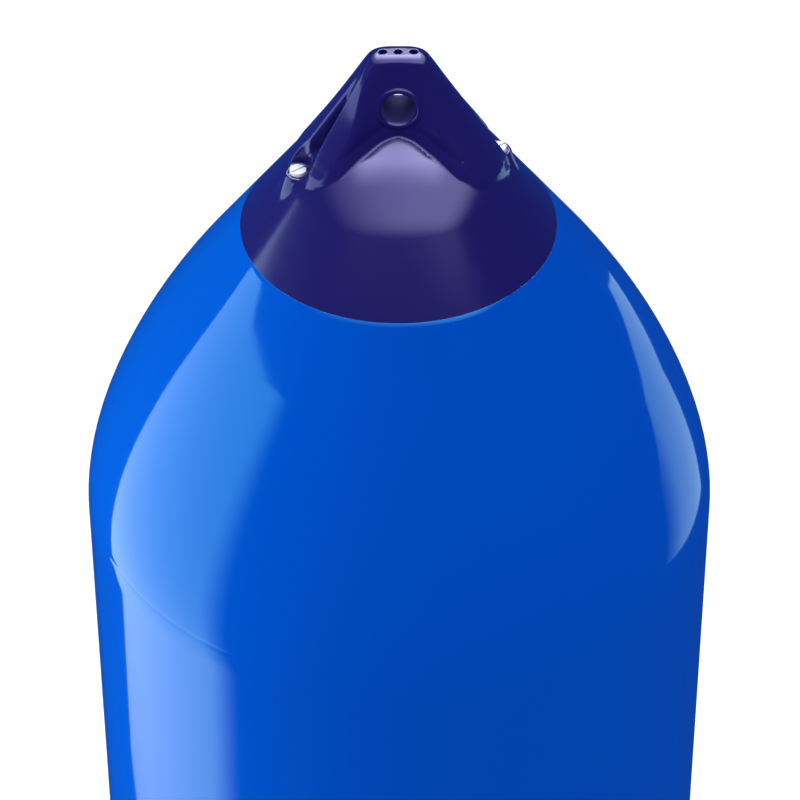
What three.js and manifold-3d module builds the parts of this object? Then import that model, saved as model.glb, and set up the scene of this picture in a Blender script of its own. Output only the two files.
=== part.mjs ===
// A large inflatable boat fender with a rope eye at each end, hung upright.
// Millimetres, +Z up. The origin is the centre of the top rope eye, and the eye runs along Y.
import * as THREE from 'three';
import { mergeVertices } from 'three/addons/utils/BufferGeometryUtils.js';
import Module from 'manifold-3d';

// Fender body
const bodyRadius = 250;
const overallLength = 1270;
const coneHalfAngle = THREE.MathUtils.degToRad(35.36);
const shoulderTopRadius = 158.5;
const shoulderDepth = 430.5; // from the tip of a cap down to the straight side
const shoulderHandle = 0.62; // how far each end of the shoulder curve leans to its corner
const creaseAboveSide = 18; // from the straight side up to the ring crease in the shoulder
const creaseWidth = 8;
const creaseSink = 1;

// Rope cap
const apexAboveTip = 10.4; // the cone of the cap and body runs to a point this far above the tip
const capRadius = 120.7;
const capWall = 6;
const noseRadius = 104;
const bondGap = 0.3;

// Rope eye
const eyeBelowTip = 40.5;
const eyeDiameter = 25;
const lipDiameter = 35;
const lipHeight = 1.5;

// Wall that the eye goes through, which flares outward and downward into the legs
const wallHalfAtTip = 9;
const wallHalfAtNose = 17;
const wallFlat = 20; // the wall is flat this far each side of the eye, and flares beyond
const wallFlare = 0.24;
const filletAtEye = 3;
const filletAtFoot = 14;

// Tip
const tipHalfWidth = 22;
const tipRound = 5;
const tipHoleDiameter = 5.6;
const tipHolePitch = 11.3;
const tipHoleDepth = 9;

// Legs
const kneeRadius = 68;
const kneeDepth = 75; // from the tip down to the knee
const footDepth = 107; // from the tip down to where a leg meets the cone
const ovalAtKnee = 0.63; // depth over width of the outline of the legs, seen from above

// Valve pockets, one on each side, turned half a turn about Z from each other
const pocketApex = new THREE.Vector2(-33, -8);
const pocketBend = new THREE.Vector2(-59, -20);
const pocketMouth = new THREE.Vector2(-86, -52);
const pocketWideSide = new THREE.Vector2(-90, -8);

// Valves, upright in their pockets
const valvePlace = new THREE.Vector2(-75.3, -14);
const seatDepth = 103.3; // from the tip down to the top of the valve seat
const seatDiameter = 19;
const seatClearance = 1; // room round the seat for a screwdriver blade
const seatRecess = 2;
const socketFloor = 4; // vinyl under the flange of a valve
const flangeDiameter = 15.5;
const flangeHeight = 2;
const barrelDiameter = 11;
const barrelLength = 16;
const threadDiameter = 7;
const sealDiameter = 11;
const sealHeight = 1.2;
const screwHeadDiameter = 12.5;
const screwHeadHeight = 3;
const screwLength = 10;
const screwSlotWidth = 1.6;
const screwSlotDepth = 1.3;
const fitGap = 0.3;

// Roundness
const bodySides = 48;
const smallSides = 20;
const arcSteps = 6;
const wallSteps = 13;

// Worked out
const tipZ = eyeBelowTip;
const bottomEyeZ = 2 * eyeBelowTip - overallLength;
const middleZ = bottomEyeZ / 2;
const apexZ = tipZ + apexAboveTip;
const footZ = tipZ - footDepth;
const footRadius = (apexZ - footZ) * Math.tan(coneHalfAngle);
const noseCentreZ = apexZ - noseRadius / Math.sin(coneHalfAngle);
const seatZ = tipZ - seatDepth;
const flangeFloorZ = seatZ - seatRecess;
const socketFloorZ = flangeFloorZ - socketFloor;
const clearAbove = 20; // how far cutters run past what they cut
const sides = ['left', 'right'];

const vinylBlue = { color: 0x0048a8, roughness: 0.28, metalness: 0 };
const vinylNavy = { color: 0x1a1650, roughness: 0.32, metalness: 0 };
const whiteNylon = { color: 0xdfe2ee, roughness: 0.45, metalness: 0 };
const blackRubber = { color: 0x141414, roughness: 0.8, metalness: 0 };

const wasm = await Module();
wasm.setup();

// A closed three.js geometry as a solid that can be joined and cut.
function solidOf(geometry) {
  const bare = geometry.index ? geometry.toNonIndexed() : geometry.clone();
  bare.deleteAttribute('normal');
  bare.deleteAttribute('uv');
  const merged = mergeVertices(bare, 1e-3);
  return new wasm.Manifold(new wasm.Mesh({
    numProp: 3,
    vertProperties: new Float32Array(merged.attributes.position.array),
    triVerts: new Uint32Array(merged.index.array),
  }));
}

function meshOf(name, solid, look) {
  const { vertProperties, triVerts } = solid.getMesh();
  const geometry = new THREE.BufferGeometry();
  geometry.setAttribute('position', new THREE.BufferAttribute(new Float32Array(vertProperties), 3));
  geometry.setIndex(new THREE.BufferAttribute(new Uint32Array(triVerts), 1));
  geometry.computeVertexNormals();
  const mesh = new THREE.Mesh(geometry, new THREE.MeshStandardMaterial(look));
  mesh.name = name;
  return mesh;
}

// Moves each vertex to the place that a function gives for it.
function reshaped(geometry, placeOf) {
  const position = geometry.attributes.position;
  const point = new THREE.Vector3();
  for (let i = 0; i < position.count; i += 1) {
    point.fromBufferAttribute(position, i);
    placeOf(point);
    position.setXYZ(i, point.x, point.y, point.z);
  }
  return geometry;
}

// A surface of revolution about Z. The profile lists (radius, z) from its top on the axis
// down to its bottom on the axis.
function turnedGeometry(profile, sides) {
  return new THREE.LatheGeometry([...profile].reverse(), sides).rotateX(Math.PI / 2);
}

// An upright cylinder between two heights.
function upright(diameter, lowZ, highZ, x = 0, y = 0, sides = smallSides) {
  const geometry = new THREE.CylinderGeometry(diameter / 2, diameter / 2, highZ - lowZ, sides);
  geometry.rotateX(Math.PI / 2);
  geometry.translate(x, y, (lowZ + highZ) / 2);
  return solidOf(geometry);
}

// A cylinder through the wall, centred on the rope eye.
function alongEye(diameter, length) {
  return solidOf(new THREE.CylinderGeometry(diameter / 2, diameter / 2, length, smallSides));
}

// Height of the shared cone at a radius, on the surface or sunk under it by an inset.
function coneZ(radius, inset = 0) {
  return apexZ - inset / Math.sin(coneHalfAngle) - radius / Math.tan(coneHalfAngle);
}

// Height of the outside of the cap without its legs: a round nose that runs into the cone.
function noseZ(radius) {
  if (radius > noseRadius * Math.cos(coneHalfAngle)) return coneZ(radius);
  return noseCentreZ + Math.sqrt(noseRadius ** 2 - radius ** 2);
}

// The round nose and the cone below it, as (radius, z) from the axis out to a radius.
function nosePoints(endRadius, inset) {
  const round = noseRadius - inset;
  const points = [new THREE.Vector2(0, noseCentreZ + round)];
  for (let i = 1; i <= arcSteps; i += 1) {
    const angle = Math.PI / 2 + (i / arcSteps) * (coneHalfAngle - Math.PI / 2);
    points.push(new THREE.Vector2(round * Math.cos(angle), noseCentreZ + round * Math.sin(angle)));
  }
  points.push(new THREE.Vector2(endRadius, coneZ(endRadius, inset)));
  return points;
}

// The shoulder, with a shallow ring crease pressed into it.
function shoulderPoints() {
  const start = new THREE.Vector2(shoulderTopRadius, coneZ(shoulderTopRadius));
  const corner = new THREE.Vector2(bodyRadius, coneZ(bodyRadius));
  const end = new THREE.Vector2(bodyRadius, tipZ - shoulderDepth);
  const curve = new THREE.CubicBezierCurve(
    start,
    start.clone().lerp(corner, shoulderHandle),
    end.clone().lerp(corner, shoulderHandle),
    end,
  ).getPoints(2 * arcSteps);
  const creaseZ = end.y + creaseAboveSide;
  const radiusAt = (z) => {
    const below = curve.findIndex((p) => p.y <= z);
    const [high, low] = [curve[below - 1], curve[below]];
    return THREE.MathUtils.mapLinear(z, low.y, high.y, low.x, high.x);
  };
  const crease = [1, 0, -1].map((step) => {
    const z = creaseZ + (step * creaseWidth) / 2;
    return new THREE.Vector2(radiusAt(z) - (step === 0 ? creaseSink : 0), z);
  });
  const above = curve.filter((p) => p.y > creaseZ + creaseWidth);
  const below = curve.filter((p) => p.y < creaseZ - creaseWidth);
  return [...above, ...crease, ...below];
}

// The upper end of the body: a nose sunk under the cap, a step out to the cone, the shoulder.
function bodyEndPoints() {
  const inset = capWall + bondGap;
  const stepRadius = capRadius + bondGap * Math.sin(coneHalfAngle);
  const stepFootRadius = stepRadius - inset * Math.cos(coneHalfAngle);
  return [
    ...nosePoints(stepFootRadius, inset),
    new THREE.Vector2(stepRadius, coneZ(stepRadius)),
    ...shoulderPoints(),
  ];
}

// Valve parts are drawn on the left, and half a turn about Z takes them to the right.
function onSide(solid, side) {
  return side === 'left' ? solid : solid.rotate([0, 0, 180]);
}

// The body is one sealed bag of vinyl, with a stepped pit for each valve socket and barrel.
function fenderBody() {
  const upper = bodyEndPoints();
  const lower = upper.map((p) => new THREE.Vector2(p.x, 2 * middleZ - p.y)).reverse();
  let body = solidOf(turnedGeometry([...upper, ...lower], bodySides));
  const { x, y } = valvePlace;
  const barrelFloorZ = flangeFloorZ - barrelLength - fitGap;
  const barrelPit = upright(barrelDiameter + 2 * fitGap, barrelFloorZ, tipZ, x, y);
  const socketPit = upright(seatDiameter + 2 * bondGap, socketFloorZ - bondGap, tipZ, x, y);
  for (const side of sides) {
    body = body.subtract(onSide(barrelPit.add(socketPit), side));
  }
  return body;
}

// Outline of the tip and legs seen from the front, turned about Z and flattened front to back.
function legOutline() {
  const tipCorner = [];
  const cornerSteps = arcSteps / 2;
  for (let i = 0; i <= cornerSteps; i += 1) {
    const angle = (Math.PI / 2) * (1 - i / cornerSteps);
    tipCorner.push(new THREE.Vector2(
      tipHalfWidth - tipRound + tipRound * Math.cos(angle),
      tipZ - tipRound + tipRound * Math.sin(angle),
    ));
  }
  const slope = new THREE.LineCurve(
    new THREE.Vector2(tipHalfWidth, tipZ - tipRound),
    new THREE.Vector2(kneeRadius, tipZ - kneeDepth),
  ).getPoints(arcSteps).slice(1, -1);
  const knee = new THREE.QuadraticBezierCurve(
    new THREE.Vector2(kneeRadius, tipZ - kneeDepth),
    new THREE.Vector2(footRadius, tipZ - kneeDepth - (footRadius - kneeRadius)),
    new THREE.Vector2(footRadius, footZ),
  ).getPoints(cornerSteps);
  const geometry = turnedGeometry([
    new THREE.Vector2(0, tipZ),
    ...tipCorner,
    ...slope,
    ...knee,
    new THREE.Vector2(0, footZ),
  ], bodySides);
  const kneeZ = tipZ - kneeDepth;
  return solidOf(reshaped(geometry, (point) => {
    const spread = THREE.MathUtils.clamp((kneeZ - point.z) / (kneeZ - footZ), 0, 1) ** 3;
    const square = THREE.MathUtils.clamp((point.z - kneeZ) / (tipZ - kneeZ), 0, 1) ** 3;
    point.y *= THREE.MathUtils.lerp(ovalAtKnee, 1, Math.max(spread, square));
  }));
}

// Half the thickness of the wall at a place on it: drafted toward the tip, flared into the
// legs, and swept into the nose by a fillet that widens toward the feet.
function wallHalf(x, z) {
  const drop = (tipZ - z) / (tipZ - noseZ(wallHalfAtNose));
  const draft = THREE.MathUtils.lerp(wallHalfAtTip, wallHalfAtNose, Math.min(drop, 1.2));
  const plain = draft + wallFlare * Math.max(0, Math.abs(x) - wallFlat);
  const widen = THREE.MathUtils.smoothstep(Math.abs(x), wallFlat / 2, kneeRadius);
  const fillet = THREE.MathUtils.lerp(filletAtEye, filletAtFoot, widen);
  const height = THREE.MathUtils.clamp(z - noseZ(Math.hypot(x, plain)), 0, fillet);
  return plain + fillet - Math.sqrt(fillet ** 2 - (fillet - height) ** 2);
}

// The tip seen from the side: round along its long edges, and open below for the legs.
function tipSection() {
  const clear = kneeDepth + wallHalfAtTip;
  const shape = new THREE.Shape();
  shape.moveTo(-clear, footZ - clearAbove);
  shape.lineTo(-clear, tipZ - kneeDepth);
  shape.lineTo(-wallHalfAtTip, tipZ - tipRound);
  shape.absarc(-wallHalfAtTip + tipRound, tipZ - tipRound, tipRound, Math.PI, Math.PI / 2, true);
  shape.absarc(wallHalfAtTip - tipRound, tipZ - tipRound, tipRound, Math.PI / 2, 0, true);
  shape.lineTo(clear, tipZ - kneeDepth);
  shape.lineTo(clear, footZ - clearAbove);
  const geometry = new THREE.ExtrudeGeometry(shape, {
    depth: 3 * footRadius,
    bevelEnabled: false,
    curveSegments: arcSteps / 2,
  });
  geometry.translate(0, 0, -1.5 * footRadius);
  return solidOf(geometry.rotateX(Math.PI / 2).rotateZ(Math.PI / 2));
}

function legs() {
  const reach = footRadius + 1;
  const height = footDepth + 2;
  const box = new THREE.BoxGeometry(2 * reach, 2, height, 2 * wallSteps, 1, wallSteps);
  box.translate(0, 0, tipZ + 1 - height / 2);
  const wall = reshaped(box, (point) => {
    point.y *= wallHalf(point.x, point.z);
  });
  return legOutline().intersect(solidOf(wall)).intersect(tipSection());
}

// The hollow between the wide and the thin leg of the left side.
function pocket() {
  const plan = new THREE.Shape([pocketApex, pocketBend, pocketMouth, pocketWideSide]);
  const geometry = new THREE.ExtrudeGeometry(plan, {
    depth: footDepth + 2 * clearAbove,
    bevelEnabled: false,
  });
  geometry.translate(0, 0, footZ - clearAbove);
  return solidOf(geometry);
}

function ropeCap(withValves) {
  const outside = solidOf(turnedGeometry([
    ...nosePoints(capRadius, 0),
    new THREE.Vector2(0, coneZ(capRadius)),
  ], bodySides));
  const inside = solidOf(turnedGeometry([
    ...nosePoints(capRadius + capWall, capWall),
    new THREE.Vector2(0, coneZ(capRadius + capWall, capWall)),
  ], bodySides));

  const lipHalf = wallHalf(0, -lipDiameter / 2) + lipHeight;
  let wall = legs().add(alongEye(lipDiameter, 2 * lipHalf));
  for (const side of sides) {
    wall = wall.subtract(onSide(pocket(), side));
  }
  let cap = outside.add(wall).subtract(inside);
  if (withValves) {
    const { x, y } = valvePlace;
    const above = upright(seatDiameter + 2 * seatClearance, seatZ, tipZ, x, y);
    const recess = upright(flangeDiameter + 2 * fitGap, flangeFloorZ, seatZ + 1, x, y);
    const bore = upright(barrelDiameter + 2 * fitGap, flangeFloorZ - barrelLength, seatZ, x, y);
    const socket = upright(seatDiameter, socketFloorZ, seatZ, x, y).subtract(recess).subtract(bore);
    for (const side of sides) {
      cap = cap.subtract(onSide(above.add(recess).add(bore), side));
      cap = cap.add(onSide(socket, side));
    }
  }
  cap = cap.subtract(alongEye(eyeDiameter, 2 * (lipHalf + clearAbove)));
  for (const step of [-1, 0, 1]) {
    const x = step * tipHolePitch;
    const hole = upright(tipHoleDiameter, tipZ - tipHoleDepth, tipZ + 1, x, 0, smallSides / 2);
    cap = cap.subtract(hole);
  }
  return cap;
}

// A valve: a housing let into the cap, a seal on it and a slotted screw plug.
function valveHousing() {
  const { x, y } = valvePlace;
  const flangeTopZ = flangeFloorZ + fitGap + flangeHeight;
  const flange = upright(flangeDiameter, flangeFloorZ + fitGap, flangeTopZ, x, y);
  const barrel = upright(barrelDiameter, flangeFloorZ - barrelLength, flangeTopZ, x, y);
  const threadFloorZ = flangeTopZ - screwLength - fitGap;
  const thread = upright(threadDiameter, threadFloorZ, flangeTopZ + 1, x, y);
  return flange.add(barrel).subtract(thread);
}

function valveSeal() {
  const { x, y } = valvePlace;
  const lowZ = flangeFloorZ + flangeHeight + 2 * fitGap;
  const ring = upright(sealDiameter, lowZ, lowZ + sealHeight, x, y);
  return ring.subtract(upright(threadDiameter, lowZ - 1, lowZ + sealHeight + 1, x, y));
}

function valveScrew() {
  const { x, y } = valvePlace;
  const headZ = flangeFloorZ + flangeHeight + sealHeight + 3 * fitGap;
  const topZ = headZ + screwHeadHeight;
  const head = upright(screwHeadDiameter, headZ, topZ, x, y);
  const shankEndZ = flangeFloorZ + fitGap + flangeHeight - screwLength;
  const shank = upright(threadDiameter - 2 * fitGap, shankEndZ, headZ + 1, x, y);
  const slot = new THREE.BoxGeometry(2 * screwHeadDiameter, screwSlotWidth, 2 * screwSlotDepth);
  slot.rotateZ(Math.PI / 5);
  slot.translate(x, y, topZ);
  return head.add(shank).subtract(solidOf(slot));
}

const fender = new THREE.Group();
fender.add(meshOf('fender_body', fenderBody(), vinylBlue));
fender.add(meshOf('top_rope_cap', ropeCap(true), vinylNavy));

const bottomEnd = new THREE.Group();
bottomEnd.add(meshOf('bottom_rope_cap', ropeCap(false), vinylNavy));
bottomEnd.rotation.x = Math.PI;
bottomEnd.position.z = bottomEyeZ;
fender.add(bottomEnd);

for (const side of sides) {
  fender.add(meshOf(`valve_housing_${side}`, onSide(valveHousing(), side), whiteNylon));
  fender.add(meshOf(`valve_seal_${side}`, onSide(valveSeal(), side), blackRubber));
  fender.add(meshOf(`valve_screw_${side}`, onSide(valveScrew(), side), whiteNylon));
}

export default fender;
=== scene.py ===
import math

import bpy
import numpy as np
from mathutils import Matrix, Vector


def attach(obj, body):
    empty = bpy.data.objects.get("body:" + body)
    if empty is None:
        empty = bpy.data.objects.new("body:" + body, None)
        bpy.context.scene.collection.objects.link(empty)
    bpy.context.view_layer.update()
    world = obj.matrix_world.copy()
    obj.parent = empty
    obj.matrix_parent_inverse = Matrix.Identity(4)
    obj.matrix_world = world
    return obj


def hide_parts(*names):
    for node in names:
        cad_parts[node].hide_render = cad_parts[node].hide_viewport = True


bl_info = {
    "name": "Boat fender",
    "version": (1, 0, 0),
    "blender": (4, 5, 0),
    "location": "3D View > Sidebar > Fender",
    "description": "A large inflatable vinyl boat fender with a rope cap at each end",
    "category": "Object",
}

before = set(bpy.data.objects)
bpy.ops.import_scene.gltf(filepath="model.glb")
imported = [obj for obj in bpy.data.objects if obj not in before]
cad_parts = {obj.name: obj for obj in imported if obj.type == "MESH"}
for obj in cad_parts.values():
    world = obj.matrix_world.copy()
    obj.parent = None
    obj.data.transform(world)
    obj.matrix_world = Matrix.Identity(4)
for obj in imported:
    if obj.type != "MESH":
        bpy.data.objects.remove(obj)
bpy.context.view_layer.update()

PHOTO_SIDE = 800

# Fixed proportions of the rope cap, in metres, with the top rope eye at the origin.
CONE_HALF_ANGLE = math.radians(35.36)
TIP = 0.0405
APEX = 0.0509
NOSE_CENTRE = APEX - 0.104 / math.sin(CONE_HALF_ANGLE)
SEAT = -0.0628
VALVE_XY = (-0.0753, -0.014)
CROWN_ANGLE = math.radians(22)
CAP_SHELL = 0.006
VALVE_SHELL = 0.014
BAND_HEIGHT = 0.0078
TIP_HOLE_PITCH = 0.0113
TIP_HOLE_DEPTH = 0.009

# How far the eye of the visible cap narrows on each side. The solid's eye is straight.
EYE_WAIST = 0.0038

# How far the body's nose, hidden under the cap, is drawn in from the nose of the cap.
HIDDEN_NOSE_DROP = 0.0205

# The photograph's camera, found from the outline of the fender in it.
LENS_IN_PIXELS = 3995.45
SHIFT_IN_PIXELS = 0.948
CAMERA_PITCH, CAMERA_ROLL, CAMERA_REACH = 0.71558, -0.00257, 3.1615
CAMERA_TARGET = (0.0, 0.0, -0.2992)
FLOOR_HEIGHT = -2.45


class FenderSizes(bpy.types.PropertyGroup):
    body_radius: bpy.props.FloatProperty(
        name="Body radius", description="Radius of the straight side of the body",
        default=0.25, min=0.1, precision=4, unit="LENGTH", subtype="DISTANCE")
    length: bpy.props.FloatProperty(
        name="Length", description="Length from tip to tip",
        default=1.27, min=0.9, precision=4, unit="LENGTH", subtype="DISTANCE")
    cap_radius: bpy.props.FloatProperty(
        name="Cap radius", description="Radius of the lower edge of a rope cap",
        default=0.1207, min=0.1, precision=4, unit="LENGTH", subtype="DISTANCE")
    nose_radius: bpy.props.FloatProperty(
        name="Nose radius", description="Radius of the round nose under the wall of a rope cap",
        default=0.104, min=0.05, precision=4, unit="LENGTH", subtype="DISTANCE")
    eye_diameter: bpy.props.FloatProperty(
        name="Eye diameter", description="Diameter of the hole that the rope goes through",
        default=0.025, min=0.01, precision=4, unit="LENGTH", subtype="DISTANCE")
    tip_hole: bpy.props.FloatProperty(
        name="Tip hole", description="Diameter of each of the three blind holes in the tip",
        default=0.0056, min=0.001, precision=4, unit="LENGTH", subtype="DISTANCE")
    grid_step: bpy.props.FloatProperty(
        name="Grid step", description="Size of the cells that the skin of a cap is drawn from",
        default=0.00175, min=0.0008, precision=4, unit="LENGTH", subtype="DISTANCE")


class FenderColours(bpy.types.PropertyGroup):
    body: bpy.props.FloatVectorProperty(
        name="Body", description="Colour of the glossy vinyl of the body",
        default=(0.0, 0.049, 0.375), min=0.0, max=1.0, size=3, subtype="COLOR")
    cap: bpy.props.FloatVectorProperty(
        name="Cap", description="Colour of the moulded vinyl of the rope caps",
        default=(0.0075, 0.0052, 0.078), min=0.0, max=1.0, size=3, subtype="COLOR")
    valve: bpy.props.FloatVectorProperty(
        name="Valve", description="Colour of the nylon of the valve screws and housings",
        default=(0.55, 0.56, 0.72), min=0.0, max=1.0, size=3, subtype="COLOR")
    seal: bpy.props.FloatVectorProperty(
        name="Seal", description="Colour of the rubber of the valve seals",
        default=(0.012, 0.012, 0.013), min=0.0, max=1.0, size=3, subtype="COLOR")
    floor: bpy.props.FloatVectorProperty(
        name="Floor", description="Colour of the plain floor",
        default=(0.5, 0.5, 0.5), min=0.0, max=1.0, size=3, subtype="COLOR")


# Shapes

def cone_z(radius, inset=0.0):
    """Height of the shared cone at a radius: a straight line from the apex, sunk by an inset."""
    a = CONE_HALF_ANGLE
    return APEX - inset / math.sin(a) - radius / math.tan(a)


def ramp(value, low, high):
    """0 below low, 1 above high, and a smooth S between them."""
    t = np.clip((value - low) / (high - low), 0.0, 1.0)
    return t * t * (3 - 2 * t)


def soft_min(a, b, reach):
    """The lower of two fields, rounded where they come within reach of each other:
    the minimum less a quarter of the squared overlap over the reach."""
    h = np.maximum(reach - np.abs(a - b), 0.0)
    return np.minimum(a, b) - h * h / (4 * reach)


def soft_max(a, b, reach):
    """The higher of two fields, rounded in the same way."""
    return -soft_min(-a, -b, reach)


def nose_field(x, y, z, nose_radius):
    """Distance outside the plain nose and cone. It is the distance to a sphere above the
    circle where the two meet, and the distance to the cone below it. Within 22 degrees of the
    axis a steeper cone, which touches the sphere there, takes its place."""
    r = np.hypot(x, y)
    c, s = math.cos(CONE_HALF_ANGLE), math.sin(CONE_HALF_ANGLE)
    centre = APEX - nose_radius / s
    ball = np.hypot(r, z - centre) - nose_radius
    crown = r * math.sin(CROWN_ANGLE) + (z - centre) * math.cos(CROWN_ANGLE) - nose_radius
    ball = np.where(r < (z - centre) * math.tan(CROWN_ANGLE), crown, ball)
    cone = r * c + (z - APEX) * s
    return np.where((z - centre) * c > r * s, ball, cone)


LEG_DEPTH = np.array([-0.02, 0.005, 0.075, 0.0798, 0.0846, 0.0903, 0.0966, 0.107, 0.13])
LEG_RADIUS = np.array([0.0062, 0.0226, 0.0668, 0.0699, 0.0729, 0.0768, 0.0803, 0.0833, 0.0836])


def leg_field(x, y, z):
    """Distance outside the outline of the legs: a cone under the tip that turns down at the
    knee, flattened front to back to 0.63 of its width near the tip and 0.81 below the knee."""
    depth = TIP - z
    radius = np.interp(depth, LEG_DEPTH, LEG_RADIUS)
    square = np.clip(1 - depth / 0.075, 0, 1) ** 3
    oval = 0.63 + 0.37 * square + 0.18 * ramp(depth, 0.030, 0.090)
    g = np.hypot(x, y / oval) + 1e-9
    slope = np.where(depth < 0.075, 0.655, 0.3)
    steep = np.sqrt((x * x + (y / oval ** 2) ** 2) / (g * g) + slope ** 2)
    return (g - radius) / steep


ARCH_X = np.array([0.002, 0.011, 0.021, 0.033, 0.044, 0.055, 0.064])
ARCH_Y = np.array([0.0, 0.0025, 0.0040, 0.0046, 0.0046, 0.0025, 0.0])


def wall_half(x, z, nose):
    """Half the thickness of the wall: 10 mm at the tip, curving out to 18 mm at the nose. Each
    side of a flat 12 mm beside the eye it leans out towards its ends and then runs on almost
    level. It spreads a little where the legs come down, and its last 8 mm above the nose slope
    out as a band that is widest half way along each arch."""
    depth = TIP - z
    draft = 0.0100 + 0.0078 * (1 - (1 - np.clip(depth / 0.0667, 0, 1)) ** 2)
    out, foot = np.abs(x) - 0.012, depth - 0.068
    out = 0.5 * (out + np.sqrt(out * out + 0.003 ** 2))
    out = soft_min(0.62 * out, 0.0165 + 0.05 * out, 0.003) * ramp(depth, 0.0, 0.065)
    foot = 0.5 * (foot + np.sqrt(foot * foot + 0.004 ** 2))
    band = np.interp(np.abs(x), ARCH_X, ARCH_Y) * np.clip(1 - nose / BAND_HEIGHT, 0, 1.2)
    return draft + out + 0.20 * foot + band


def pocket_field(x, y):
    """Distance outside the hollow between the wide and the thin leg, seen from above: behind
    one line, and in front of either of two lines that meet at a bend."""
    def beside(ax, ay, bx, by):
        lx, ly = bx - ax, by - ay
        return ((x - ax) * ly - (y - ay) * lx) / math.hypot(lx, ly)
    inner = beside(-0.033, -0.008, -0.059, -0.020)
    outer = beside(-0.059, -0.020, -0.086, -0.052)
    return soft_max(y + 0.008, soft_min(-inner, -outer, 0.004), 0.004)


def cap_field(x, y, z, sizes, with_valves):
    """Distance outside a rope cap. The wall, legs, bead and tip are rounded into each other
    and into the nose, and the eye, tip holes, pockets, valve seats and inside are cut out. The
    eye narrows by EYE_WAIST 12 mm off its middle, so that no daylight shows through it in the
    photograph's view. The cap is thicker round each valve, to cover the body's colour there."""
    eye = sizes.eye_diameter / 2
    nose = nose_field(x, y, z, sizes.nose_radius)
    half = wall_half(x, z, nose)
    side = np.abs(y) - half
    corner = 0.0075 - 0.004 * ramp(TIP - z, 0.0, 0.03)
    wall = soft_max(leg_field(x, y, z), side, corner)
    wall = soft_max(wall, z - TIP, 0.0062)
    pocket = np.minimum(pocket_field(x, y), pocket_field(-x, -y))
    wall = soft_max(wall, -pocket, 0.003)
    bead = np.hypot(np.hypot(x, z) - (eye + 0.0026), side + 0.0012) - 0.0027
    wall = soft_min(wall, bead, 0.0010)
    skin = soft_min(nose, wall, 0.0012)
    shell = CAP_SHELL
    if with_valves:
        for turn in (1, -1):
            r = np.hypot(turn * x - VALVE_XY[0], turn * y - VALVE_XY[1])
            clear = np.maximum(r - 0.0105, SEAT - z)
            skin = soft_max(skin, -clear, 0.0016)
            spread = 0.35 * (SEAT + 0.0026 - z)
            seat = soft_max(r - 0.0095 - spread, z - SEAT - 0.0026, 0.0010)
            seat = np.maximum(seat, -0.085 - z)
            skin = soft_min(skin, seat, 0.003)
            recess = np.maximum(r - 0.00705, SEAT - 0.0002 - z)
            skin = soft_max(skin, -recess, 0.0006)
            shell = shell + VALVE_SHELL * (1 - ramp(r, 0.014, 0.02))
    waist = EYE_WAIST * np.clip(np.minimum((y + 0.018) / 0.030, (0.0175 - y) / 0.0055), 0, 1)
    skin = soft_max(skin, eye - waist - np.hypot(x, z), 0.0018)
    for step in (-1, 0, 1):
        across = np.hypot(x - step * TIP_HOLE_PITCH, y)
        hole = np.maximum(across - sizes.tip_hole / 2, TIP - TIP_HOLE_DEPTH - z)
        skin = soft_max(skin, -hole, 0.0008)
    skin = np.maximum(skin, -shell - nose)
    c, s = math.cos(CONE_HALF_ANGLE), math.sin(CONE_HALF_ANGLE)
    down = np.hypot(x, y) * s - (z - APEX) * c - sizes.cap_radius / s
    return np.maximum(skin, down - 0.0035)


def stretched(stops, steps):
    """Grid lines between stops, each stretch divided into cells of about its own step."""
    lines = [np.array([stops[0]])]
    for low, high, step in zip(stops[:-1], stops[1:], steps):
        count = max(1, round((high - low) / step))
        lines.append(np.linspace(low, high, count + 1)[1:])
    return np.concatenate(lines)


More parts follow.
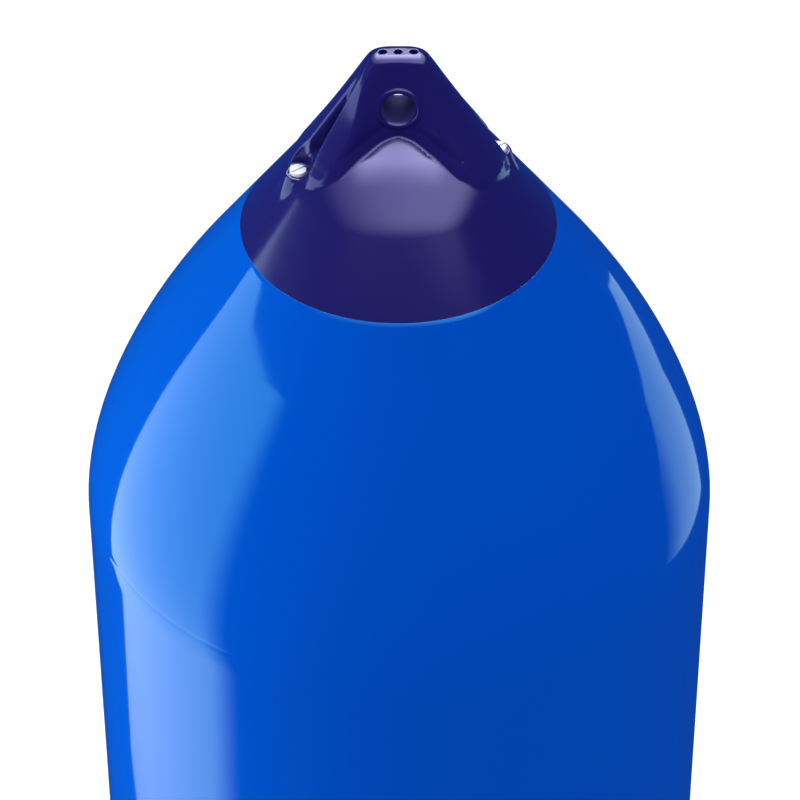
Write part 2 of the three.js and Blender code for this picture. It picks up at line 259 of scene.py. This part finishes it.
def skin_of(field, gx, gy, gz):
    """The surface where a field is zero, as vertices and quads. Each cell that the surface
    crosses gets a vertex at the mean of its crossings, each grid edge that it crosses gets a
    quad between the four cells round it, and the vertices are then moved along the slope of
    the field until they lie on the surface."""
    values = field(*np.meshgrid(gx, gy, gz, indexing="ij"))
    inside = values < 0
    shape = tuple(n - 1 for n in inside.shape)
    corners = [(i, j, k) for i in (0, 1) for j in (0, 1) for k in (0, 1)]
    count = np.zeros(shape, np.int8)
    for i, j, k in corners:
        count += inside[i:i + shape[0], j:j + shape[1], k:k + shape[2]]
    cells = np.argwhere((count > 0) & (count < 8))
    number = np.full(shape, -1, np.int64)
    number[tuple(cells.T)] = np.arange(len(cells))
    lines = (gx, gy, gz)
    total, crossings = np.zeros((len(cells), 3)), np.zeros((len(cells), 1))
    for axis in range(3):
        for start in [c for c in corners if c[axis] == 0]:
            a = cells + np.array(start)
            b = a.copy()
            b[:, axis] += 1
            va, vb = values[tuple(a.T)], values[tuple(b.T)]
            cross = (va < 0) != (vb < 0)
            t = np.where(cross, va / np.where(cross, va - vb, 1), 0)[:, None]
            pa = np.stack([lines[n][a[:, n]] for n in range(3)], 1)
            pb = np.stack([lines[n][b[:, n]] for n in range(3)], 1)
            total += np.where(cross[:, None], pa + t * (pb - pa), 0)
            crossings += cross[:, None]
    points = total / crossings
    quads = []
    for axis in range(3):
        u, v = (axis + 1) % 3, (axis + 2) % 3
        low, high = [slice(None)] * 3, [slice(None)] * 3
        low[axis], high[axis] = slice(0, -1), slice(1, None)
        a, b = inside[tuple(low)], inside[tuple(high)]
        edges = np.argwhere(a != b)
        edges = edges[(edges[:, u] > 0) & (edges[:, v] > 0)
                      & (edges[:, u] < shape[u]) & (edges[:, v] < shape[v])]
        outward = a[tuple(edges.T)]
        ring = []
        for du, dv in ((-1, -1), (0, -1), (0, 0), (-1, 0)):
            cell = edges.copy()
            cell[:, u] += du
            cell[:, v] += dv
            ring.append(number[tuple(cell.T)])
        ring = np.stack(ring, 1)
        quads.append(np.where(outward[:, None], ring, ring[:, ::-1]))
    quads = np.concatenate(quads)
    start = points.copy()
    for _ in range(4):
        value, slope = sloped(field, points)
        move = -value[:, None] * slope / np.maximum((slope ** 2).sum(1), 0.04)[:, None]
        size = np.linalg.norm(move, axis=1, keepdims=True)
        points = points + move * np.minimum(1, 0.0005 / np.maximum(size, 1e-9))
        away = points - start
        size = np.linalg.norm(away, axis=1, keepdims=True)
        points = start + away * np.minimum(1, 0.0012 / np.maximum(size, 1e-9))
    _, slope = sloped(field, points)
    normals = slope / np.maximum(np.linalg.norm(slope, axis=1, keepdims=True), 1e-9)
    return points, quads, normals


def sloped(field, points, step=0.0001):
    """The field at points, and its slope from the difference across a tenth of a millimetre."""
    slope = np.empty_like(points)
    for axis in range(3):
        shift = np.zeros(3)
        shift[axis] = step
        slope[:, axis] = (field(*(points + shift).T) - field(*(points - shift).T)) / (2 * step)
    return field(*points.T), slope


def turned(profile, segments, centre=(0.0, 0.0)):
    """A surface of revolution about an upright axis. Point (r, z) of the profile goes to
    (r cos t, r sin t, z) at each turn t, with one vertex at each pole, and the profile runs
    from its top pole down to its bottom pole."""
    profile = np.asarray(profile, float)
    turns = np.linspace(0, 2 * np.pi, segments, endpoint=False)
    rings = profile[1:-1]
    x = rings[:, :1] * np.cos(turns) + centre[0]
    y = rings[:, :1] * np.sin(turns) + centre[1]
    z = np.repeat(rings[:, 1:], segments, 1)
    poles = np.array([[*centre, profile[0, 1]], [*centre, profile[-1, 1]]])
    points = np.concatenate([np.stack([x, y, z], 2).reshape(-1, 3), poles])
    here = np.arange(segments)
    after = np.roll(here, -1)
    row = (np.arange(len(rings) - 1) * segments)[:, None]
    quads = np.stack([row + here, row + segments + here, row + segments + after, row + after], 2)
    top, bottom = len(points) - 2, len(points) - 1
    last = (len(rings) - 1) * segments
    caps = np.concatenate([
        np.stack([np.full(segments, top), here, after], 1),
        np.stack([np.full(segments, bottom), last + after, last + here], 1),
    ])
    return points, quads.reshape(-1, 4), caps


def bezier(a, b, c, d, count):
    """Points on a cubic Bezier curve."""
    t = np.linspace(0, 1, count)[:, None]
    a, b, c, d = (np.asarray(p, float) for p in (a, b, c, d))
    return (1 - t) ** 3 * a + 3 * (1 - t) ** 2 * t * b + 3 * (1 - t) * t * t * c + t ** 3 * d


def body_profile(sizes):
    """Half the outline of the body from its top pole: a nose hidden low under the cap, a rounded
    lip at the edge of the cap, the cone, a Bezier shoulder with a ring crease, the side."""
    a = CONE_HALF_ANGLE
    inset = 0.0063
    angles = np.linspace(np.pi / 2, a, 10)
    round_r = sizes.nose_radius - HIDDEN_NOSE_DROP
    nose = np.stack([round_r * np.cos(angles), NOSE_CENTRE + round_r * np.sin(angles)], 1)
    out = np.array([math.cos(a), math.sin(a)])
    down = np.array([math.sin(a), -math.cos(a)])
    edge = np.array([sizes.cap_radius, cone_z(sizes.cap_radius)])
    lift, curl = 0.00006, 0.0001
    turns = np.linspace(np.pi, np.pi / 2, 5)[:, None]
    lip = edge + down * (0.0001 + curl * (1 + np.cos(turns))) \
        + out * (lift + curl * (np.sin(turns) - 1))
    start = np.array([[*(edge + down * 0.0001 - out * inset)]])
    shoulder_top = np.array([0.1585, cone_z(0.1585)])
    run = np.linspace(0.06, 0.98, 14)[:, None]
    slope = lip[-1] + run * (shoulder_top - lip[-1])
    corner = np.array([sizes.body_radius, cone_z(sizes.body_radius)])
    side_top = np.array([sizes.body_radius, TIP - 0.4305])
    shoulder = bezier(shoulder_top, shoulder_top + 0.62 * (corner - shoulder_top),
                      side_top + 0.62 * (corner - side_top), side_top, 130)
    crease = TIP - 0.4125
    across = (shoulder[:, 1] - crease) / 0.0013
    shoulder[:, 0] -= 0.00022 * np.exp(-across ** 2)
    middle = TIP - sizes.length / 2
    side = np.stack([np.full(14, sizes.body_radius),
                     np.linspace(side_top[1], middle, 15)[1:]], 1)
    return np.concatenate([nose, start, lip, slope, shoulder, side])


def mesh_piece(name, points, faces, node, material, normals=None):
    """A mesh object that rides on the fender and stands for a CAD node."""
    mesh = bpy.data.meshes.new(name)
    mesh.from_pydata(points.tolist(), [], [f for part in faces for f in part.tolist()])
    mesh.validate()
    mesh.polygons.foreach_set("use_smooth", np.ones(len(mesh.polygons), bool))
    mesh.update()
    if normals is not None:
        mesh.normals_split_custom_set_from_vertices(normals.tolist())
    piece = bpy.data.objects.new(name, mesh)
    bpy.context.scene.collection.objects.link(piece)
    mesh.materials.append(material)
    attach(piece, "root")
    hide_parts(node)
    return piece


# Materials

def surface_group():
    """A shared node group: cloudy tone, fine grain height and roughness of moulded vinyl."""
    name = "moulded_surface"
    if name in bpy.data.node_groups:
        return bpy.data.node_groups[name]
    group = bpy.data.node_groups.new(name, "ShaderNodeTree")
    socket = group.interface.new_socket
    socket("Vector", in_out="INPUT", socket_type="NodeSocketVector")
    for label, value in (("Grain Scale", 900.0), ("Cloud Scale", 4.0), ("Roughness", 0.1),
                         ("Roughness Spread", 0.03)):
        socket(label, in_out="INPUT", socket_type="NodeSocketFloat").default_value = value
    for label in ("Cloud", "Grain", "Roughness"):
        socket(label, in_out="OUTPUT", socket_type="NodeSocketFloat")
    nodes, links = group.nodes, group.links
    source, target = nodes.new("NodeGroupInput"), nodes.new("NodeGroupOutput")
    cloud, grain, smear = (nodes.new("ShaderNodeTexNoise") for _ in range(3))
    for noise, detail in ((cloud, 3.0), (grain, 2.0), (smear, 5.0)):
        noise.inputs["Detail"].default_value = detail
        links.new(source.outputs["Vector"], noise.inputs["Vector"])
    links.new(source.outputs["Cloud Scale"], cloud.inputs["Scale"])
    links.new(source.outputs["Grain Scale"], grain.inputs["Scale"])
    smear.inputs["Scale"].default_value = 14.0
    spread = nodes.new("ShaderNodeMath")
    spread.operation = "MULTIPLY_ADD"
    links.new(smear.outputs["Fac"], spread.inputs[0])
    links.new(source.outputs["Roughness Spread"], spread.inputs[1])
    links.new(source.outputs["Roughness"], spread.inputs[2])
    links.new(cloud.outputs["Fac"], target.inputs["Cloud"])
    links.new(grain.outputs["Fac"], target.inputs["Grain"])
    links.new(spread.outputs["Value"], target.inputs["Roughness"])
    return group


def dulled(nodes, links, place, height, rough):
    """Roughness raised to 0.9 within 12 mm of an axis along Y at a height: the inside of a
    rope eye. The distance is the length of the place with Y taken out."""
    flat, span = nodes.new("ShaderNodeVectorMath"), nodes.new("ShaderNodeVectorMath")
    flat.operation, span.operation = "MULTIPLY_ADD", "LENGTH"
    flat.inputs[1].default_value = (1, 0, 1)
    flat.inputs[2].default_value = (0, 0, -height)
    rub, most = nodes.new("ShaderNodeMapRange"), nodes.new("ShaderNodeMath")
    rub.inputs["From Min"].default_value, rub.inputs["From Max"].default_value = 0.012, 0.0135
    rub.inputs["To Min"].default_value, rub.inputs["To Max"].default_value = 0.9, 0.0
    most.operation = "MAXIMUM"
    links.new(place, flat.inputs[0])
    links.new(flat.outputs["Vector"], span.inputs[0])
    links.new(span.outputs["Value"], rub.inputs["Value"])
    links.new(rub.outputs["Result"], most.inputs[0])
    links.new(rough, most.inputs[1])
    return most.outputs["Value"]


def moulded(name, colour, shade, roughness, spread, grain_scale, grain_depth, tint=(1, 1, 1),
            eyes=()):
    """A Principled material whose tone drifts between a colour and a shade of it, with the
    shared surface for roughness and fine relief. It is dull inside an eye, and its gloss has a
    tint, which is fitted to the photograph under this stage's light."""
    material = bpy.data.materials.new(name)
    material.use_nodes = True
    nodes, links = material.node_tree.nodes, material.node_tree.links
    shader = nodes["Principled BSDF"]
    place = nodes.new("ShaderNodeTexCoord")
    surface = nodes.new("ShaderNodeGroup")
    surface.node_tree = surface_group()
    surface.inputs["Grain Scale"].default_value = grain_scale
    surface.inputs["Roughness"].default_value = roughness
    surface.inputs["Roughness Spread"].default_value = spread
    links.new(place.outputs["Object"], surface.inputs["Vector"])
    tone = nodes.new("ShaderNodeMix")
    tone.data_type = "RGBA"
    colour = np.array(colour)
    tone.inputs["A"].default_value = (*colour, 1)
    tone.inputs["B"].default_value = (*(colour * shade), 1)
    links.new(surface.outputs["Cloud"], tone.inputs["Factor"])
    links.new(tone.outputs["Result"], shader.inputs["Base Color"])
    rough = surface.outputs["Roughness"]
    for height in eyes:
        rough = dulled(nodes, links, place.outputs["Object"], height, rough)
    links.new(rough, shader.inputs["Roughness"])
    relief = nodes.new("ShaderNodeBump")
    relief.inputs["Distance"].default_value = grain_depth
    relief.inputs["Strength"].default_value = 1.0
    links.new(surface.outputs["Grain"], relief.inputs["Height"])
    links.new(relief.outputs["Normal"], shader.inputs["Normal"])
    shader.inputs["IOR"].default_value = 1.5
    shader.inputs["Specular Tint"].default_value = (*tint, 1)
    material.diffuse_color = (*colour, 1)
    return material


# Operators

class FENDER_OT_body(bpy.types.Operator):
    """Makes the glossy vinyl body"""
    bl_idname = "fender.body"
    bl_label = "Body"

    def execute(self, context):
        sizes, colours = context.scene.fender_sizes, context.scene.fender_colours
        upper = body_profile(sizes)
        lower = upper[-2::-1] * (1, -1) + (0, 2 * TIP - sizes.length)
        points, quads, caps = turned(np.concatenate([upper, lower]), 160)
        vinyl = moulded("vinyl_blue", colours.body, 0.94, 0.045, 0.025, 260.0, 0.000012,
                        tint=(0.22, 0.97, 1.0))
        mesh_piece("body_skin", points, (quads, caps), "fender_body", vinyl)
        return {"FINISHED"}


class FENDER_OT_caps(bpy.types.Operator):
    """Makes the rope cap at each end, with its wall, legs, eye and pockets"""
    bl_idname = "fender.caps"
    bl_label = "Rope caps"

    def execute(self, context):
        sizes, colours = context.scene.fender_sizes, context.scene.fender_colours
        vinyl = moulded("vinyl_navy", colours.cap, 0.9, 0.12, 0.05, 700.0, 0.00002,
                        tint=(0.58, 0.57, 1.0), eyes=(0.0, 2 * TIP - sizes.length))
        step = sizes.grid_step
        reach = sizes.cap_radius + 0.004
        gx = stretched([-reach, -0.092, -0.026, 0.026, 0.092, reach],
                       [2 * step, step, 0.6 * step, step, 2 * step])
        gy = stretched([-reach, -0.084, -0.024, 0.024, 0.084, reach],
                       [2 * step, step, 0.6 * step, step, 2 * step])
        gz = stretched([-0.138, -0.08, -0.022, TIP + 0.002], [1.6 * step, step, 0.6 * step])
        for name, node, top in (("top_cap_skin", "top_rope_cap", True),
                                ("bottom_cap_skin", "bottom_rope_cap", False)):
            points, quads, normals = skin_of(
                lambda x, y, z: cap_field(x, y, z, sizes, top), gx, gy, gz)
            if not top:
                half_turn = np.array([1, -1, -1])
                points = points * half_turn + (0, 0, 2 * TIP - sizes.length)
                normals = normals * half_turn
            mesh_piece(name, points, (quads,), node, vinyl, normals)
        return {"FINISHED"}


class FENDER_OT_valves(bpy.types.Operator):
    """Gives the two valves their nylon and rubber"""
    bl_idname = "fender.valves"
    bl_label = "Valves"

    def execute(self, context):
        colours = context.scene.fender_colours
        nylon = moulded("white_nylon", colours.valve, 0.95, 0.3, 0.1, 1500.0, 0.00001)
        rubber = moulded("black_rubber", colours.seal, 0.8, 0.6, 0.1, 1200.0, 0.00003)
        for node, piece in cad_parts.items():
            if node.startswith("valve_"):
                piece.data.materials.clear()
                piece.data.materials.append(rubber if "seal" in node else nylon)
        return {"FINISHED"}


class FENDER_OT_stage(bpy.types.Operator):
    """Sets the camera, the soft lights and the plain floor"""
    bl_idname = "fender.stage"
    bl_label = "Stage"

    def execute(self, context):
        # The light is fitted to the photograph and not a real studio. The ceiling and the top
        # softbox are seen only by the gloss, the two fills only by the plain colour, and the
        # surroundings are white to the camera and the plain colour and dark blue to the gloss.
        scene = context.scene
        place_camera(scene)
        scene.view_settings.view_transform = "Standard"
        soft_panel("left_softbox", (-1.399, -0.033, -0.961), (-0.319, 0.943, 0.099),
                   (-0.082, -0.132, 0.988),
                   ((0.77, -1.4), (0.77, 1.03), (0.55, 1.03), (0.1, 1.13), (-0.82, 1.46),
                    (-0.82, -1.4)), 3.0, (("X", -0.82, -0.5), ("Y", -2.2, -0.1)),
                   (0.78, 0.97, 1.0))
        soft_panel("right_softbox", (1.212, 0.637, -0.79), (0.343, -0.916, 0.207),
                   (0.148, 0.271, 0.951),
                   ((0.42, -0.32), (0.42, 0.05), (0.19, 0.28), (-0.05, 0.345), (-0.42, 0.37),
                    (-0.75, 0.22), (-0.37, 0.1), (-0.37, -0.32)), 1.2, (("X", 0.5, 0.1),),
                   (0.6, 0.95, 1.0))
        ceiling = soft_panel("ceiling", (0.0, 0.0, 1.5), (-1.0, 0.0, 0.0), (0.0, 1.0, 0.0),
                             ((3.3, -1.9), (3.3, 2.3), (-3.3, 2.3), (-3.3, -1.9),
                              (-0.6, -2.75), (0.6, -2.75)), 4.7,
                             (("X", 3.0, -0.6), ("X", -3.3, -1.5), ("Y", -2.75, -1.3)))
        top = soft_panel("top_softbox", (0.0, 0.0, 1.49), (-1.0, 0.0, 0.0), (0.0, 1.0, 0.0),
                         ((1.3, -0.5), (1.3, 2.2), (-1.3, 2.2), (-1.3, -0.5)), 10.5,
                         (("X", 1.3, 0.6), ("X", -1.3, -0.6), ("Y", -0.5, 0.7), ("Y", 2.2, 1.2)))
        ceiling.visible_diffuse = top.visible_diffuse = False
        high = soft_panel("high_fill", (0.0, 0.0, 1.6), (-1.0, 0.0, 0.0), (0.0, 1.0, 0.0),
                          ((3.0, -3.0), (3.0, 2.0), (-3.0, 2.0), (-3.0, -3.0)), 0.8, ())
        fill = soft_panel("left_fill", (-2.0, 0.7, -0.6), (0.32, 0.95, 0.0), (0.0, 0.0, 1.0),
                          ((1.2, -1.3), (1.2, 1.3), (-1.2, 1.3), (-1.2, -1.3)), 3.6, (),
                          (0.6, 1.1, 0.45))
        fill.visible_glossy = high.visible_glossy = False
        stage_floor(scene.fender_colours.floor)
        world = bpy.data.worlds.new("studio")
        scene.world = world
        world.use_nodes = True
        nodes, links = world.node_tree.nodes, world.node_tree.links
        seen, path = nodes.new("ShaderNodeBackground"), nodes.new("ShaderNodeLightPath")
        mix = nodes.new("ShaderNodeMixShader")
        dim = nodes["Background"]
        tone = nodes.new("ShaderNodeMix")
        tone.data_type = "RGBA"
        tone.inputs["A"].default_value = (0.008, 0.05, 0.30, 1)
        tone.inputs["B"].default_value = (1.0, 1.0, 1.0, 1)
        links.new(path.outputs["Is Diffuse Ray"], tone.inputs["Factor"])
        links.new(tone.outputs["Result"], dim.inputs["Color"])
        dim.inputs["Strength"].default_value = 1.0
        seen.inputs["Color"].default_value = (1, 1, 1, 1)
        seen.inputs["Strength"].default_value = 1.0
        links.new(path.outputs["Is Camera Ray"], mix.inputs["Fac"])
        links.new(dim.outputs["Background"], mix.inputs[1])
        links.new(seen.outputs["Background"], mix.inputs[2])
        links.new(mix.outputs["Shader"], nodes["World Output"].inputs["Surface"])
        return {"FINISHED"}


def place_camera(scene):
    """A long lens 3.16 m from a point on the axis, looking down at 41 degrees."""
    data = bpy.data.cameras.new("camera")
    camera = bpy.data.objects.new("camera", data)
    scene.collection.objects.link(camera)
    data.sensor_width = 36.0
    data.lens = LENS_IN_PIXELS * data.sensor_width / PHOTO_SIDE
    data.shift_x = SHIFT_IN_PIXELS / PHOTO_SIDE
    data.clip_start, data.clip_end = 0.05, 60
    back = Vector((0, -math.cos(CAMERA_PITCH), math.sin(CAMERA_PITCH)))
    camera.location = Vector(CAMERA_TARGET) + back * CAMERA_REACH
    turn = (Matrix.Rotation(math.pi / 2 - CAMERA_PITCH, 4, "X")
            @ Matrix.Rotation(CAMERA_ROLL, 4, "Z"))
    camera.rotation_euler = turn.to_euler()
    scene.camera = camera


def soft_panel(name, centre, across, up, outline, radiance, fades, colour=(1, 1, 1)):
    """A flat softbox that shines along across x up. Its outline is in metres along across (X)
    and up (Y), and its light rises smoothly from the first to the second place of each fade.
    It is clear where it is dark, so panels can overlap."""
    across, up = Vector(across).normalized(), Vector(up).normalized()
    up = (up - up.dot(across) * across).normalized()
    points = [Vector(centre) + s * across + t * up for s, t in outline]
    mesh = bpy.data.meshes.new(name)
    face = tuple(range(len(points)))
    mesh.from_pydata([tuple(p) for p in points], [], [face])
    if mesh.polygons[0].normal.dot(across.cross(up)) < 0:
        mesh.flip_normals()
    flat = mesh.uv_layers.new(name="flat")
    for loop in mesh.loops:
        flat.data[loop.index].uv = outline[loop.vertex_index]
    panel = bpy.data.objects.new(name, mesh)
    bpy.context.scene.collection.objects.link(panel)
    material = bpy.data.materials.new(name)
    material.use_nodes = True
    nodes, links = material.node_tree.nodes, material.node_tree.links
    nodes.remove(nodes["Principled BSDF"])
    glow, flat_map = nodes.new("ShaderNodeEmission"), nodes.new("ShaderNodeUVMap")
    flat_map.uv_map = "flat"
    glow.inputs["Color"].default_value = (*colour, 1)
    split, front = nodes.new("ShaderNodeSeparateXYZ"), nodes.new("ShaderNodeNewGeometry")
    links.new(flat_map.outputs["UV"], split.inputs[0])
    level = nodes.new("ShaderNodeMath")
    level.operation = "MULTIPLY_ADD"
    level.inputs[1].default_value, level.inputs[2].default_value = -radiance, radiance
    links.new(front.outputs["Backfacing"], level.inputs[0])
    for axis, dark, bright in fades:
        rise, both = nodes.new("ShaderNodeMapRange"), nodes.new("ShaderNodeMath")
        rise.interpolation_type = "SMOOTHSTEP"
        rise.inputs["From Min"].default_value = min(dark, bright)
        rise.inputs["From Max"].default_value = max(dark, bright)
        rise.inputs["To Min"].default_value = 0.0 if dark < bright else 1.0
        rise.inputs["To Max"].default_value = 1.0 if dark < bright else 0.0
        both.operation = "MULTIPLY"
        links.new(split.outputs[axis], rise.inputs["Value"])
        links.new(rise.outputs["Result"], both.inputs[0])
        links.new(level.outputs["Value"], both.inputs[1])
        level = both
    clear, total = nodes.new("ShaderNodeBsdfTransparent"), nodes.new("ShaderNodeAddShader")
    links.new(level.outputs["Value"], glow.inputs["Strength"])
    links.new(glow.outputs["Emission"], total.inputs[0])
    links.new(clear.outputs["BSDF"], total.inputs[1])
    links.new(total.outputs["Shader"], nodes["Material Output"].inputs["Surface"])
    mesh.materials.append(material)
    panel.visible_camera = False
    panel.visible_shadow = False
    return panel


def stage_floor(colour):
    """A wide plain floor under the hung fender."""
    grid = np.linspace(-9, 9, 19)
    x, y = np.meshgrid(grid, grid, indexing="ij")
    points = np.stack([x, y, np.full_like(x, FLOOR_HEIGHT)], 2).reshape(-1, 3)
    n = len(grid)
    here = (np.arange(n - 1)[:, None] * n + np.arange(n - 1)).reshape(-1)
    faces = np.stack([here, here + n, here + n + 1, here + 1], 1)
    mesh = bpy.data.meshes.new("floor")
    mesh.from_pydata(points.tolist(), [], faces.tolist())
    floor = bpy.data.objects.new("floor", mesh)
    bpy.context.scene.collection.objects.link(floor)
    material = bpy.data.materials.new("pale_floor")
    material.use_nodes = True
    shader = material.node_tree.nodes["Principled BSDF"]
    shader.inputs["Base Color"].default_value = (*colour, 1)
    shader.inputs["Roughness"].default_value = 0.9
    shader.inputs["Emission Color"].default_value = (1, 1, 1, 1)
    shader.inputs["Emission Strength"].default_value = 0.45
    mesh.materials.append(material)
    floor.visible_glossy = False


class FENDER_PT_panel(bpy.types.Panel):
    """Sizes, colours and steps of the fender"""
    bl_idname = "FENDER_PT_panel"
    bl_label = "Boat fender"
    bl_space_type = "VIEW_3D"
    bl_region_type = "UI"
    bl_category = "Fender"

    def draw(self, context):
        layout = self.layout
        for group in (context.scene.fender_sizes, context.scene.fender_colours):
            box = layout.box()
            for name in group.__annotations__:
                box.prop(group, name)
        for operator in OPERATORS:
            layout.operator(operator.bl_idname)


OPERATORS = (FENDER_OT_stage, FENDER_OT_body, FENDER_OT_caps, FENDER_OT_valves)
CLASSES = (FenderSizes, FenderColours, *OPERATORS, FENDER_PT_panel)


def register():
    for item in CLASSES:
        bpy.utils.register_class(item)
    bpy.types.Scene.fender_sizes = bpy.props.PointerProperty(type=FenderSizes)
    bpy.types.Scene.fender_colours = bpy.props.PointerProperty(type=FenderColours)


def unregister():
    del bpy.types.Scene.fender_colours
    del bpy.types.Scene.fender_sizes
    for item in reversed(CLASSES):
        bpy.utils.unregister_class(item)


def main():
    register()
    bpy.ops.fender.stage()
    bpy.ops.fender.body()
    bpy.ops.fender.caps()
    bpy.ops.fender.valves()


if __name__ == "__main__":
    main()
